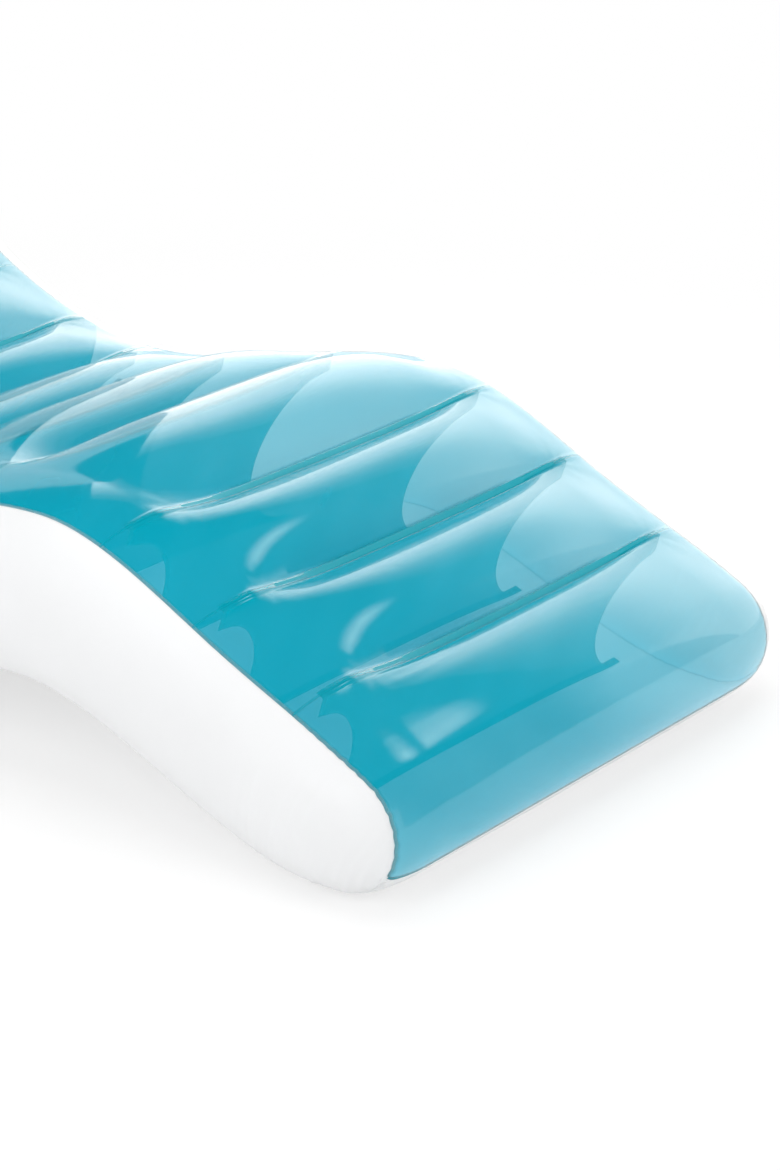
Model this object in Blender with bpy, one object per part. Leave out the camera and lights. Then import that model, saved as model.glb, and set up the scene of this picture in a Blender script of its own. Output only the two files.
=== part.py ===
"""Inflatable pool chair: a wave-shaped lounge of welded PVC film, foot end towards -Y.

A see-through deck sheet and a white floor sheet are the top and bottom of one long air body.
White side panels close it, with welding laps tucked under both sheets. Cross webs tie the
sheets together along the weld lines, and the air swells the film between them. One web runs the
full width and parts the body into two air chambers, each with a push-in valve on the right side.
"""

import math

import bmesh
import bpy
import numpy as np
from mathutils import Matrix, Vector

# Film, welds and clearances, in metres
FILM = 0.00035
GAP = 0.0003
WELD_LAP = 0.005
WELD_BAND = 0.008

# Plan sizes
LENGTH = 1.88
SEAM_WIDTH = 0.88
SIDE_BULGE = 0.060
SIDE_FADE = 0.15

# Round ends of the side outline
FOOT_NOSE_RADIUS = 0.088
HEAD_NOSE_RADIUS = 0.100
HEAD_NOSE_HEIGHT = 0.425
FOOT_DECK_ANGLE = math.radians(28)
FOOT_SEAM_ANGLE = math.radians(214)
HEAD_DECK_ANGLE = math.radians(31)
HEAD_SEAM_ANGLE = math.radians(-50)

# Deck line at the seams, from the shins over the knees and the seat to the back
SHIN_Y_SHARE = -0.3266
SHIN_HEIGHT = 0.303
SHIN_SLOPE = 0.49
KNEE_Y_SHARE = -0.168
KNEE_HEIGHT = 0.408
SEAT_Y_SHARE = 0.155
SEAT_HEIGHT = 0.309
BACK_Y_SHARE = 0.348
BACK_HEIGHT = 0.410
BACK_SLOPE = 0.56

# Floor line at the seams: under the foot, the knee arch, the seat and the back
FOOT_LIFT = 0.0102
FOOT_REST_Y_SHARE = -0.438
ARCH_Y_SHARE = -0.150
ARCH_HEIGHT = 0.160
SEAT_REST_Y_SHARE = 0.162
SEAT_LIFT = 0.0217
UNDER_BACK_Y_SHARE = 0.293
UNDER_BACK_HEIGHT = 0.102
UNDER_BACK_SLOPE = 0.55

# Weld lines of the deck, foot end first, and the one that parts the air chambers
DECK_WELD_Y_SHARES = (-0.4082, -0.3157, -0.2273, -0.0736, 0.0508, 0.1561, 0.2433, 0.3315, 0.409)
DIVIDER_INDEX = 6

# Swelling of the sheets above the line of their seams
DECK_EDGE_RISE = 0.019
DECK_CROWN_SHARE = 0.18
DECK_END_CROWN = 0.028
FLOOR_EDGE_RISE = 0.012
FLOOR_CROWN_SHARE = 0.115
FLOOR_END_CROWN = 0.004
SEAM_BOW = 0.0135
END_SKEW_SHARE = 0.6
MARGIN_SHARE = 0.18
CREASE_END_SHARE = 0.88
CREASE_FULL_SHARE = 0.66
NOSE_FADE_SHARE = 0.10

# Cross webs
WEB_REACH_SHARE = 0.77
WEB_END_CUT = 0.045

# Push-in air valve, measured from the outside of the film it sits in
VALVE_FLANGE_RADIUS = 0.018
VALVE_FLANGE_THICKNESS = 0.0012
NECK_RADIUS = 0.009
NECK_WALL = 0.0014
NECK_DEPTH = 0.012
NECK_LIP_WIDTH = 0.0015
NECK_LIP_THICKNESS = 0.0014
STEM_WALL = 0.0026
STEM_TRAVEL = 0.011
STEM_STOP_WIDTH = 0.0014
STEM_STOP_THICKNESS = 0.0015
STEM_RIM_THICKNESS = 0.0014
CAP_THICKNESS = 0.0014
CAP_OVERHANG = 0.0036
PLUG_DEPTH = 0.0040
PLUG_CLEARANCE = 0.0005
PLUG_TAPER = 0.0009
TETHER_WIDTH = 0.005
TETHER_REACH = 0.0032
FLAP_THICKNESS = 0.0005
FLAP_OVERLAP = 0.0014

# Stations across a sheet from the middle to a seam, and up a side panel
SHEET_X_SHARES = (0.0, 0.64, WEB_REACH_SHARE, 0.89, 1.0)
PANEL_HEIGHT_SHARES = (0.0, 0.11, 0.35, 0.65, 0.89, 1.0)
END_SHARES = (0.0, 0.10, 0.21, 0.33, 0.46, 0.63, 0.82)
CHAMBER_SHARES = (0.19, 0.42, 0.58, 0.81)
WEB_HEIGHT_SHARES = (0.0, 0.25, 0.5, 0.75, 1.0)
CURVE_STEPS = 60
ROUND_SEGMENTS = 24
HALF_WIDTH = SEAM_WIDTH / 2
TUCK = FILM + GAP


def film(name, colour, roughness, alpha):
    """A PVC film or moulding: colour, roughness and how much light it lets by."""
    material = bpy.data.materials.new(name)
    material.use_nodes = True
    shader = material.node_tree.nodes["Principled BSDF"]
    shader.inputs["Base Color"].default_value = (*colour, 1.0)
    shader.inputs["Roughness"].default_value = roughness
    shader.inputs["Metallic"].default_value = 0.0
    shader.inputs["Alpha"].default_value = alpha
    return material


def smooth_step(value):
    """0 below 0, 1 above 1, and an even S between."""
    held = min(max(value, 0.0), 1.0)
    return held * held * (3 - 2 * held)


def arc_rise(share, chord, crown_share):
    """Height of a round arch over its chord, at a share of the way along it."""
    crown = crown_share * chord
    radius = (chord * chord / 4 + crown * crown) / (2 * crown)
    return math.sqrt(radius * radius - (chord * (share - 0.5)) ** 2) - (radius - crown)


class Path:
    """A line in the Y-Z plane, read by the distance along it."""

    def __init__(self, points, side):
        self.y = np.array([point[0] for point in points])
        self.z = np.array([point[1] for point in points])
        steps = np.hypot(np.diff(self.y), np.diff(self.z))
        self.marks = np.concatenate([[0.0], np.cumsum(steps)])
        self.length = float(self.marks[-1])
        self.side = side

    def at(self, distance):
        y = float(np.interp(distance, self.marks, self.y))
        return Vector((0.0, y, float(np.interp(distance, self.marks, self.z))))

    def normal(self, distance):
        """Unit vector square to the line, out of the air body."""
        reach = self.length / (4 * CURVE_STEPS)
        low, high = max(distance - reach, 0.0), min(distance + reach, self.length)
        along = (self.at(high) - self.at(low)).normalized()
        return Vector((0.0, -along.z, along.y)) * self.side

    def distance_at_y(self, y):
        """Distance to the last crossing of y, which on the deck lies past the foot nose."""
        index = int(np.nonzero(self.y <= y)[0][-1])
        share = (y - self.y[index]) / (self.y[index + 1] - self.y[index])
        return float(self.marks[index] + share * (self.marks[index + 1] - self.marks[index]))


def arc_points(centre, radius, start, end):
    angles = np.linspace(start, end, CURVE_STEPS)
    return [(centre[0] + radius * math.cos(a), centre[1] + radius * math.sin(a)) for a in angles]


def curve_points(knots):
    """Smooth line through (y, z, slope) knots."""
    points = []
    for (y0, z0, m0), (y1, z1, m1) in zip(knots, knots[1:]):
        run = y1 - y0
        for t in np.linspace(0, 1, CURVE_STEPS, endpoint=False):
            near, far = (1 + 2 * t) * (1 - t) ** 2, t * t * (3 - 2 * t)
            bend = run * (m0 * t * (1 - t) ** 2 - m1 * t * t * (1 - t))
            points.append((y0 + run * t, near * z0 + far * z1 + bend))
    return points + [knots[-1][:2]]


def tangent_knot(centre, radius, angle, slope):
    """Knot where a nose's circle hands over to the line beyond it."""
    return (centre[0] + radius * math.cos(angle), centre[1] + radius * math.sin(angle), slope)


def outline():
    """Deck line and floor line, both from the foot seam to the head seam."""
    foot = (FOOT_NOSE_RADIUS - LENGTH / 2, FOOT_NOSE_RADIUS + FOOT_LIFT)
    head = (LENGTH / 2 - HEAD_NOSE_RADIUS, HEAD_NOSE_HEIGHT)
    foot_top = math.pi / 2 + FOOT_DECK_ANGLE
    head_top = math.pi / 2 + HEAD_DECK_ANGLE
    foot_bottom, head_bottom = 1.5 * math.pi, head_top - math.pi
    foot_slope, head_slope = math.tan(FOOT_DECK_ANGLE), math.tan(HEAD_DECK_ANGLE)
    deck = curve_points(
        [
            tangent_knot(foot, FOOT_NOSE_RADIUS, foot_top, foot_slope),
            (SHIN_Y_SHARE * LENGTH, SHIN_HEIGHT, SHIN_SLOPE),
            (KNEE_Y_SHARE * LENGTH, KNEE_HEIGHT, 0.0),
            (SEAT_Y_SHARE * LENGTH, SEAT_HEIGHT, 0.0),
            (BACK_Y_SHARE * LENGTH, BACK_HEIGHT, BACK_SLOPE),
            tangent_knot(head, HEAD_NOSE_RADIUS, head_top, head_slope),
        ]
    )
    floor = curve_points(
        [
            tangent_knot(foot, FOOT_NOSE_RADIUS, foot_bottom, 0.0),
            (FOOT_REST_Y_SHARE * LENGTH, FOOT_LIFT, 0.0),
            (ARCH_Y_SHARE * LENGTH, ARCH_HEIGHT, 0.0),
            (SEAT_REST_Y_SHARE * LENGTH, SEAT_LIFT, 0.0),
            (UNDER_BACK_Y_SHARE * LENGTH, UNDER_BACK_HEIGHT, UNDER_BACK_SLOPE),
            tangent_knot(head, HEAD_NOSE_RADIUS, head_bottom, head_slope),
        ]
    )
    foot_up = arc_points(foot, FOOT_NOSE_RADIUS, FOOT_SEAM_ANGLE, foot_top)[:-1]
    foot_down = arc_points(foot, FOOT_NOSE_RADIUS, FOOT_SEAM_ANGLE, foot_bottom)[:-1]
    head_up = arc_points(head, HEAD_NOSE_RADIUS, head_top, HEAD_SEAM_ANGLE)[1:]
    head_down = arc_points(head, HEAD_NOSE_RADIUS, head_bottom, HEAD_SEAM_ANGLE)[1:]
    deck_path = Path(foot_up + deck + head_up, 1)
    floor_path = Path(foot_down + floor + head_down, -1)
    return deck_path, floor_path


def weld_distances(deck, floor):
    """Where each web meets the deck, and the point at the same share of the way on the floor line."""
    on_deck = [deck.distance_at_y(share * LENGTH) for share in DECK_WELD_Y_SHARES]
    deck_start = FOOT_NOSE_RADIUS * (FOOT_SEAM_ANGLE - math.pi / 2 - FOOT_DECK_ANGLE)
    deck_end = deck.length - HEAD_NOSE_RADIUS * (math.pi / 2 + HEAD_DECK_ANGLE - HEAD_SEAM_ANGLE)
    floor_start = FOOT_NOSE_RADIUS * (1.5 * math.pi - FOOT_SEAM_ANGLE)
    floor_end = floor.length - HEAD_NOSE_RADIUS * (HEAD_SEAM_ANGLE - HEAD_DECK_ANGLE + math.pi / 2)
    scale = (floor_end - floor_start) / (deck_end - deck_start)
    return on_deck, [floor_start + (d - deck_start) * scale for d in on_deck]


def rows_of(path, welds, crown_share, end_crown):
    """(distance, crown, how near an end) of each row, with a flat band along each weld."""
    half_band = WELD_BAND / 2
    first, last = welds[0] - half_band, welds[-1] + half_band

    def end_row(share):
        out = 1 - share
        return end_crown * math.sin(math.pi * out**END_SKEW_SHARE) + SEAM_BOW * out

    rows = [(first * share, end_row(share), 1 - share) for share in END_SHARES]
    rows.append((first, 0.0, 0.0))
    for start, end in zip(welds, welds[1:]):
        low, chord = start + half_band, end - start - WELD_BAND
        rows.append((low, 0.0, 0.0))
        rows += [(low + chord * s, arc_rise(s, chord, crown_share), 0.0) for s in CHAMBER_SHARES]
        rows.append((low + chord, 0.0, 0.0))
    rows.append((last, 0.0, 0.0))
    reach = path.length - last
    rows += [(path.length - reach * s, end_row(s), 1 - s) for s in reversed(END_SHARES)]
    return rows


def sheet_grid(path, rows, edge_rise):
    """Points of a sheet's outer face: one list across the chair for each row."""
    fade = NOSE_FADE_SHARE * path.length
    margin = MARGIN_SHARE
    shares = [-s for s in reversed(SHEET_X_SHARES[1:])] + list(SHEET_X_SHARES)
    grid = []
    for distance, crown, end in rows:
        edge = edge_rise * smooth_step(min(distance, path.length - distance) / fade)
        point, normal = path.at(distance), path.normal(distance)
        line = []
        for share in shares:
            inset = min((1 - abs(share)) / margin, 1.0)
            swell = math.sqrt(1 - (1 - inset) ** 2)
            held = smooth_step(
                (CREASE_END_SHARE - abs(share)) / (CREASE_END_SHARE - CREASE_FULL_SHARE)
            )
            held += (1 - held) * end
            rise = swell * (edge * (1 - held) + crown * held)
            place = point + normal * rise + Vector((share * HALF_WIDTH, 0, 0))
            place.z = max(place.z, 0.0)
            line.append(place)
        grid.append(line)
    return grid


def split_quads(mesh, hollow):
    """Splits each face across the diagonal that swells it, or the other one if it's in hollow."""
    for face in [face for face in mesh.faces if len(face.verts) == 4]:
        a, b, c, d = face.verts
        swells = (a.co + c.co - b.co - d.co).dot(face.normal) > 0
        if swells == (face in hollow):
            a, c = b, d
        bmesh.utils.face_split(face, a, c)


def grid_object(name, grid, outward, laps, material, collection):
    """Film through a grid of points, its outer face on them and its thickness inside.

    Laps are the cells at the sides or the ends that lie under another sheet. They are split so
    as to lie hollow, and the others so as to swell, so that no fold of one film cuts the other.
    """
    mesh = bmesh.new()
    corners = [[point and mesh.verts.new(point) for point in line] for line in grid]
    under = set()
    for i, (low, high) in enumerate(zip(corners, corners[1:])):
        for j in range(len(low) - 1):
            ring = [low[j], low[j + 1], high[j + 1], high[j]]
            if None in ring:
                continue
            face = mesh.faces.new(ring)
            place, last = (j, len(low) - 2) if laps == "sides" else (i, len(grid) - 2)
            if laps and place in (0, last):
                under.add(face)
    bmesh.ops.delete(mesh, geom=[v for v in mesh.verts if not v.link_faces], context="VERTS")
    bmesh.ops.recalc_face_normals(mesh, faces=mesh.faces)
    if sum((face.normal * face.calc_area() for face in mesh.faces), Vector()).dot(outward) < 0:
        bmesh.ops.reverse_faces(mesh, faces=mesh.faces)
    split_quads(mesh, under)
    bmesh.ops.remove_doubles(mesh, verts=mesh.verts, dist=GAP / 10)
    data = bpy.data.meshes.new(name)
    mesh.to_mesh(data)
    mesh.free()
    item = new_object(name, data, material, collection)
    wall = item.modifiers.new("film", "SOLIDIFY")
    wall.thickness = FILM
    wall.offset = -1
    return item


def new_object(name, data, material, collection):
    item = bpy.data.objects.new(name, data)
    collection.objects.link(item)
    data.materials.append(material)
    data.shade_smooth()
    data.set_sharp_from_angle(angle=math.radians(50))
    return item


def tucked(grid, row, edge, inner, outward):
    """Seam and lap points of a panel, just inside a sheet's edge at one row."""
    start, across = grid[row][edge], grid[row][inner] - grid[row][edge]
    low, high = max(row - 1, 0), min(row + 1, len(grid) - 1)
    normal = across.cross(grid[high][edge] - grid[low][edge]).normalized()
    if normal.dot(outward) < 0:
        normal = -normal
    seam = start - normal * TUCK
    return seam, seam + across.normalized() * WELD_LAP


def end_lap(grid, row, inner_row, column, outward):
    """Seam and lap points of the floor sheet, just inside the deck sheet's end."""
    start, along = grid[row][column], grid[inner_row][column] - grid[row][column]
    across = grid[row][column + 1] - grid[row][column - 1]
    normal = across.cross(along).normalized()
    if normal.dot(outward) < 0:
        normal = -normal
    seam = start - normal * TUCK
    return seam, seam + along.normalized() * WELD_LAP


def lapped_floor(deck, floor):
    """The floor sheet's grid with its ends tucked under the deck sheet, clear of the panels."""
    last = len(deck[0]) - 1
    ends = []
    for row, inner, outward in ((0, 1, Vector((0, -1, 0))), (-1, -2, Vector((0, 1, 0)))):
        corner_step = (floor[inner][0] - floor[row][0]).normalized() * (1.5 * GAP)
        seams, laps = [floor[row][0] + corner_step], [None]
        for column in range(1, last):
            seam, lap = end_lap(deck, row, inner, column, outward)
            seams.append(seam)
            laps.append(lap)
        seams.append(floor[row][last] + corner_step)
        laps.append(None)
        ends.append((seams, laps))
    (foot_seams, foot_laps), (head_seams, head_laps) = ends
    return [foot_laps, foot_seams] + floor[1:-1] + [head_seams, head_laps]


def panel_depth(deck, edge, middle):
    """How far a panel swells at a rib with this middle: less and less towards its two corners."""
    nearest = min((middle - corner).length for corner in (deck[0][edge], deck[-1][edge]))
    share = min(nearest / SIDE_FADE, 1.0)
    return SIDE_BULGE * math.sqrt(1 - (1 - share) ** 2)


def rib_swell(share):
    return math.sqrt(1 - (2 * share - 1) ** 2)


def panel_grid(deck, floor, side):
    """Points of one side panel, a rib at each row of the sheets, with a lap at both ends of it."""
    edge, inner = (0, 1) if side < 0 else (-1, -2)
    out = Vector((side, 0, 0))
    middle = [(top[edge] + bottom[edge]) / 2 for top, bottom in zip(deck, floor)]
    grid = []
    for row, (top, bottom) in enumerate(zip(deck, floor)):
        upward = top[edge] - middle[row]
        if upward.length < GAP:
            upward = (middle[row] - middle[1 if row == 0 else row - 1]).normalized()
        top_seam, top_lap = tucked(deck, row, edge, inner, upward)
        downward = -upward if 0 < row < len(deck) - 1 else upward
        low_seam, low_lap = tucked(floor, row, edge, inner, downward)
        if row in (0, len(deck) - 1):
            seam, lap = (top_seam + low_seam) / 2, (top_lap + low_lap) / 2
            grid.append([lap, seam] + [seam] * (len(PANEL_HEIGHT_SHARES) - 2) + [seam, lap])
            continue
        rib = top[edge] - bottom[edge]
        depth = panel_depth(deck, edge, middle[row])
        ribs = [
            bottom[edge] + rib * share + out * depth * rib_swell(share)
            for share in PANEL_HEIGHT_SHARES[1:-1]
        ]
        grid.append([low_lap, low_seam] + ribs + [top_seam, top_lap])
    return grid


def band_points(grid, row, column, outward):
    """Fold and far edge of a web's flange, just inside the weld band that starts at a row."""
    along = grid[row + 1][column] - grid[row][column]
    low, high = max(column - 1, 0), min(column + 1, len(grid[row]) - 1)
    normal = along.cross(grid[row][high] - grid[row][low]).normalized()
    if normal.dot(outward) < 0:
        normal = -normal
    return grid[row][column] - normal * TUCK, grid[row + 1][column] - normal * TUCK


def web_grid(deck, floor, row):
    """Points of a cross web: floor flange, wall with hollowed ends, deck flange."""
    reach = SHEET_X_SHARES.index(WEB_REACH_SHARE)
    centre = len(SHEET_X_SHARES) - 1
    columns = []
    for column in range(centre - reach, centre + reach + 1):
        rib = deck[row][column] - floor[row][column]
        top, top_far = band_points(deck, row, column, rib)
        low, low_far = band_points(floor, row, column, -rib)
        wall = [low.lerp(top, share) for share in WEB_HEIGHT_SHARES]
        if column in (centre - reach, centre + reach):
            for point, share in zip(wall, WEB_HEIGHT_SHARES):
                cut = WEB_END_CUT * 4 * share * (1 - share)
                point.x -= math.copysign(cut, point.x)
        columns.append([low_far] + wall + [top_far])
    return columns


def divider_grid(deck, floor, row):
    """Points of the full-width web, whose ends follow the inside of the side panels."""
    columns = []
    for column in range(1, len(deck[row]) - 1):
        rib = deck[row][column] - floor[row][column]
        top, top_far = band_points(deck, row, column, rib)
        low, low_far = band_points(floor, row, column, -rib)
        columns.append([low_far] + [low.lerp(top, s) for s in PANEL_HEIGHT_SHARES] + [top_far])
    ends = []
    for side, edge in ((-1, 0), (1, -1)):
        bottom, rib = floor[row][edge], deck[row][edge] - floor[row][edge]
        out = Vector((side, 0, 0))
        upward = rib.normalized() * (4 * TUCK)
        depth = panel_depth(deck, edge, bottom + rib / 2)
        wall = [
            bottom + rib * share + out * (depth * rib_swell(share) - 3 * TUCK)
            for share in PANEL_HEIGHT_SHARES[1:-1]
        ]
        low_corner = bottom + upward - out * (2 * TUCK)
        top_corner = bottom + rib - upward - out * (2 * TUCK)
        ends.append([None, low_corner] + wall + [top_corner, None])
    return [ends[0]] + columns + [ends[1]]


def turned(name, profile, material, collection):
    """Round moulding: a closed (radius, height) profile spun about local Z."""
    mesh = bmesh.new()
    ring = [mesh.verts.new((radius, 0.0, height)) for radius, height in profile]
    edges = [mesh.edges.new((a, b)) for a, b in zip(ring, ring[1:] + ring[:1])]
    bmesh.ops.spin(
        mesh,
        geom=ring + edges,
        axis=(0, 0, 1),
        cent=(0, 0, 0),
        steps=ROUND_SEGMENTS,
        angle=2 * math.pi,
        use_merge=True,
    )
    bmesh.ops.remove_doubles(mesh, verts=mesh.verts, dist=GAP / 10)
    bmesh.ops.recalc_face_normals(mesh, faces=mesh.faces)
    data = bpy.data.meshes.new(name)
    mesh.to_mesh(data)
    mesh.free()
    return new_object(name, data, material, collection)


def block(name, low, high, collection):
    """Helper box between two corners, kept out of the model itself."""
    mesh = bmesh.new()
    bmesh.ops.create_cube(mesh, size=1.0)
    size = Vector(high) - Vector(low)
    bmesh.ops.scale(mesh, vec=size, verts=mesh.verts)
    bmesh.ops.translate(mesh, vec=(Vector(low) + Vector(high)) / 2, verts=mesh.verts)
    data = bpy.data.meshes.new(name)
    mesh.to_mesh(data)
    mesh.free()
    return helper(name, data, collection)


def rod(name, radius, low, high, axis, collection):
    """Helper cylinder along X or Z, kept out of the model itself."""
    mesh = bmesh.new()
    bmesh.ops.create_cone(
        mesh,
        cap_ends=True,
        segments=ROUND_SEGMENTS,
        radius1=radius,
        radius2=radius,
        depth=(high - low).length,
    )
    if axis == "X":
        bmesh.ops.rotate(mesh, verts=mesh.verts, matrix=Matrix.Rotation(math.pi / 2, 3, "Y"))
    bmesh.ops.translate(mesh, vec=(low + high) / 2, verts=mesh.verts)
    data = bpy.data.meshes.new(name)
    mesh.to_mesh(data)
    mesh.free()
    return helper(name, data, collection)


def helper(name, data, collection):
    item = bpy.data.objects.new(name, data)
    item.hide_render = True
    item.display_type = "WIRE"
    collection.objects.link(item)
    return item


def boolean(item, other, operation):
    step = item.modifiers.new(other.name, "BOOLEAN")
    step.object = other
    step.operation = operation
    step.solver = "EXACT"


def valve_sizes():
    """Heights and radii that the valve's pieces share, outwards from the film's outer face."""
    sizes = {}
    sizes["bore"] = NECK_RADIUS - NECK_WALL
    sizes["stem"] = sizes["bore"] - GAP
    sizes["passage"] = sizes["stem"] - STEM_WALL
    sizes["neck_top"] = GAP + NECK_LIP_THICKNESS
    sizes["neck_end"] = sizes["neck_top"] - NECK_DEPTH
    sizes["rim_low"] = sizes["neck_top"] + GAP
    sizes["rim_top"] = sizes["rim_low"] + STEM_RIM_THICKNESS
    sizes["rim"] = NECK_RADIUS + NECK_LIP_WIDTH
    sizes["stop_top"] = sizes["neck_end"] - STEM_TRAVEL - GAP
    sizes["stem_end"] = sizes["stop_top"] - STEM_STOP_THICKNESS
    sizes["cap_low"] = sizes["rim_top"] + GAP
    sizes["flap"] = sizes["passage"] + FLAP_OVERLAP
    sizes["flap_top"] = sizes["stem_end"] - GAP
    tether_end = -(sizes["passage"] + CAP_OVERHANG + TETHER_REACH)
    sizes["cap_hinge"] = Vector((tether_end, 0, sizes["cap_low"] + CAP_THICKNESS / 2))
    flap_side = -sizes["passage"] - FLAP_THICKNESS
    sizes["flap_hinge"] = Vector((flap_side, 0, sizes["flap_top"] - FLAP_THICKNESS / 2))
    return sizes


def valve_base(prefix, sizes, material, collection):
    """Welded flange under the film, with the neck and its lip outside."""
    flange_top = -FILM - GAP
    flange_low = flange_top - VALVE_FLANGE_THICKNESS
    lip = NECK_RADIUS + NECK_LIP_WIDTH
    profile = [
        (sizes["bore"], sizes["neck_end"]),
        (NECK_RADIUS, sizes["neck_end"]),
        (NECK_RADIUS, flange_low),
        (VALVE_FLANGE_RADIUS, flange_low),
        (VALVE_FLANGE_RADIUS, flange_top),
        (NECK_RADIUS, flange_top),
        (NECK_RADIUS, GAP),
        (lip, GAP),
        (lip, sizes["neck_top"]),
        (sizes["bore"], sizes["neck_top"]),
    ]
    return turned(prefix + "_valve_base", profile, material, collection)


def valve_stem(prefix, sizes, material, collection):
    """Sliding stem: rim outside, stop ring inside, and a tab that carries the cap's tether."""
    stop = sizes["bore"] + STEM_STOP_WIDTH
    profile = [
        (sizes["passage"], sizes["stem_end"]),
        (stop, sizes["stem_end"]),
        (stop, sizes["stop_top"]),
        (sizes["stem"], sizes["stop_top"]),
        (sizes["stem"], sizes["rim_low"]),
        (sizes["rim"], sizes["rim_low"]),
        (sizes["rim"], sizes["rim_top"]),
        (sizes["passage"], sizes["rim_top"]),
    ]
    stem = turned(prefix + "_valve_stem", profile, material, collection)
    low = (sizes["cap_hinge"].x - CAP_THICKNESS, -TETHER_WIDTH / 2, sizes["rim_low"])
    high = (-sizes["stem"], TETHER_WIDTH / 2, sizes["rim_top"])
    boolean(stem, block(prefix + "_tab_shape", low, high, collection), "UNION")
    return stem


def valve_cap(prefix, sizes, material, collection):
    """Tethered cap: disc, tapered plug and a strap that ends in a round hinge edge."""
    disc = sizes["passage"] + CAP_OVERHANG
    top = sizes["cap_low"] + CAP_THICKNESS
    plug = sizes["passage"] - PLUG_CLEARANCE
    profile = [
        (0.0, sizes["cap_low"] - PLUG_DEPTH),
        (plug - PLUG_TAPER, sizes["cap_low"] - PLUG_DEPTH),
        (plug, sizes["cap_low"]),
        (disc, sizes["cap_low"]),
        (disc, top),
        (0.0, top),
    ]
    cap = turned(prefix + "_valve_cap", profile, material, collection)
    half = TETHER_WIDTH / 2
    low = (sizes["cap_hinge"].x, -half, sizes["cap_low"])
    strap = block(prefix + "_strap_shape", low, (-disc / 2, half, top), collection)
    boolean(cap, strap, "UNION")
    return cap


def valve_flap(prefix, sizes, material, collection):
    """Check flap: a thin disc over the stem's inner end, with one straight hinge side."""
    low, top = sizes["flap_top"] - FLAP_THICKNESS, sizes["flap_top"]
    profile = [(0.0, low), (sizes["flap"], low), (sizes["flap"], top), (0.0, top)]
    flap = turned(prefix + "_valve_flap", profile, material, collection)
    reach = 2 * sizes["flap"]
    cutter = block(
        prefix + "_flap_cut",
        (-reach, -reach, low - FLAP_THICKNESS),
        (sizes["flap_hinge"].x, reach, top + FLAP_THICKNESS),
        collection,
    )
    boolean(flap, cutter, "DIFFERENCE")
    return flap


def build_valve(prefix, centre, up, panel, materials, collection):
    """One valve through the right panel at a point, its axis along X and its tether below it."""
    sizes = valve_sizes()
    white, soft = materials
    turn = Matrix(
        (
            (0.0, 0.0, 1.0),
            (up.y, -up.z, 0.0),
            (up.z, up.y, 0.0),
        )
    )
    frame = Matrix.Translation(centre) @ turn.to_4x4()
    base = valve_base(prefix, sizes, white, collection)
    stem = valve_stem(prefix, sizes, white, collection)
    cap = valve_cap(prefix, sizes, white, collection)
    flap = valve_flap(prefix, sizes, soft, collection)
    helpers = [step.object for item in (stem, cap, flap) for step in item.modifiers]
    for item in (base, stem, *helpers):
        item.matrix_world = frame
    for item, pivot in ((cap, sizes["cap_hinge"]), (flap, sizes["flap_hinge"])):
        item.data.transform(Matrix.Translation(-pivot))
        item.matrix_world = frame @ Matrix.Translation(pivot)
    depth = FILM + 2 * GAP
    hole = rod(
        prefix + "_valve_hole",
        NECK_RADIUS + GAP,
        centre - Vector((depth, 0, 0)),
        centre + Vector((depth, 0, 0)),
        "X",
        collection,
    )
    boolean(panel, hole, "DIFFERENCE")
    return base, stem, cap, flap


def rib_centre(deck, floor, row):
    """Point on the right panel's widest line midway between a row and the next."""
    tops, lows = (deck[row][-1], deck[row + 1][-1]), (floor[row][-1], floor[row + 1][-1])
    middle = (tops[0] + tops[1] + lows[0] + lows[1]) / 4
    rib = tops[0] - lows[0]
    flat_share = PANEL_HEIGHT_SHARES[len(PANEL_HEIGHT_SHARES) // 2]
    middle.x += panel_depth(deck, -1, middle) * rib_swell(flat_share)
    return middle, Vector((0, rib.y, rib.z)).normalized()


def main():
    for item in list(bpy.data.objects):
        bpy.data.objects.remove(item)
    collection = bpy.context.scene.collection
    teal = film("teal_film", (0.0, 0.37, 0.48), 0.12, 0.7)
    white = film("white_film", (0.9, 0.91, 0.92), 0.35, 1.0)
    clear = film("clear_film", (0.75, 0.9, 0.92), 0.2, 0.5)
    moulded = film("white_vinyl", (0.88, 0.89, 0.9), 0.4, 1.0)
    soft = film("clear_vinyl", (0.8, 0.85, 0.85), 0.3, 0.7)

    deck_path, floor_path = outline()
    deck_welds, floor_welds = weld_distances(deck_path, floor_path)
    deck_rows = rows_of(deck_path, deck_welds, DECK_CROWN_SHARE, DECK_END_CROWN)
    floor_rows = rows_of(floor_path, floor_welds, FLOOR_CROWN_SHARE, FLOOR_END_CROWN)
    deck = sheet_grid(deck_path, deck_rows, DECK_EDGE_RISE)
    floor = sheet_grid(floor_path, floor_rows, FLOOR_EDGE_RISE)

    skyward = Vector((0, 0, 1))
    grid_object("deck_sheet", deck, skyward, None, teal, collection)
    grid_object("floor_sheet", lapped_floor(deck, floor), -skyward, "ends", white, collection)
    panels = {}
    for name, side in (("left_side_panel", -1), ("right_side_panel", 1)):
        out = Vector((side, 0, 0))
        grid = panel_grid(deck, floor, side)
        panels[name] = grid_object(name, grid, out, "sides", white, collection)
    per_chamber = len(CHAMBER_SHARES) + 2
    for index in range(len(DECK_WELD_Y_SHARES)):
        row = len(END_SHARES) + index * per_chamber
        foot_side = Vector((0, -1, 0))
        if index == DIVIDER_INDEX:
            grid = divider_grid(deck, floor, row)
            grid_object("chamber_divider", grid, foot_side, "sides", clear, collection)
        else:
            grid = web_grid(deck, floor, row)
            grid_object(f"web_{index + 1}", grid, foot_side, "sides", clear, collection)
    for prefix, chamber in (("main", DIVIDER_INDEX - 1), ("back", DIVIDER_INDEX)):
        row = len(END_SHARES) + chamber * per_chamber + 1 + len(CHAMBER_SHARES) // 2
        centre, up = rib_centre(deck, floor, row)
        build_valve(prefix, centre, up, panels["right_side_panel"], (moulded, soft), collection)


main()
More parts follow.
